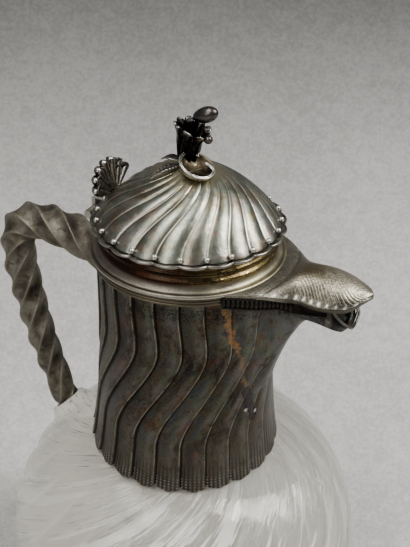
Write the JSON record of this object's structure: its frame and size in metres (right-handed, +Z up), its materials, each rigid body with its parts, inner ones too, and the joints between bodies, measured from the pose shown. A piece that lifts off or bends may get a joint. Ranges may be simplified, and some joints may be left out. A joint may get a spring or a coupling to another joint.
{
  "type": "claret jug",
  "caption": "Glass claret jug with swirled flutes, a silver neck collar with a covered spout, a twisted handle and a hinged domed lid with a flower finial.",
  "frame": {"origin": "middle of the flat that the jug stands on", "axes": "+Z up along the jug's axis, +X towards the spout, -X towards the handle and the hinge, hinge pin along Y"},
  "size_m": [0.1698, 0.1588, 0.2724],
  "materials": {
    "glass": "clear blown glass with cut swirled flutes, polished",
    "cement": "set plaster cement, matt",
    "dark_silver": "silver with a heavy brown and blue tarnish, satin",
    "bright_silver": "silver with a light tarnish in its grooves, polished",
    "gilt": "worn gilding over silver, polished",
    "cast_silver": "cast and chased silver, dark in its hollows",
    "fittings": "turned silver fittings, dull"
  },
  "bodies": {
    "root": {"glass_body": "glass", "collar_cement": "cement", "neck_collar": "dark_silver", "mouth_ring": "gilt", "reeded_wire": "dark_silver", "spout_bands": "dark_silver", "spout_leaf": "bright_silver", "spout_lip_wire": "bright_silver", "handle": "dark_silver", "handle_cement": "cement", "hinge_bracket": "dark_silver", "hinge_pin": "fittings"},
    "lid": {"lid_hinge_leaf": "bright_silver", "thumbpiece": "bright_silver", "lid_dome": "bright_silver", "lid_rim": "bright_silver", "lid_beads": "bright_silver", "lid_bezel": "gilt", "finial_stem": "fittings", "finial_washer": "fittings", "finial_nut": "fittings", "finial_flower": "cast_silver", "finial_bud": "cast_silver", "finial_beads": "cast_silver", "finial_scroll": "cast_silver", "finial_leaves": "cast_silver"}
  },
  "joints": [
    {"name": "lid_hinge", "type": "hinge", "parent": "root", "child": "lid", "pos_m": [-0.0408, 0, 0.221], "axis": [0, -1, 0], "range_deg": [0, 95]}
  ]
}
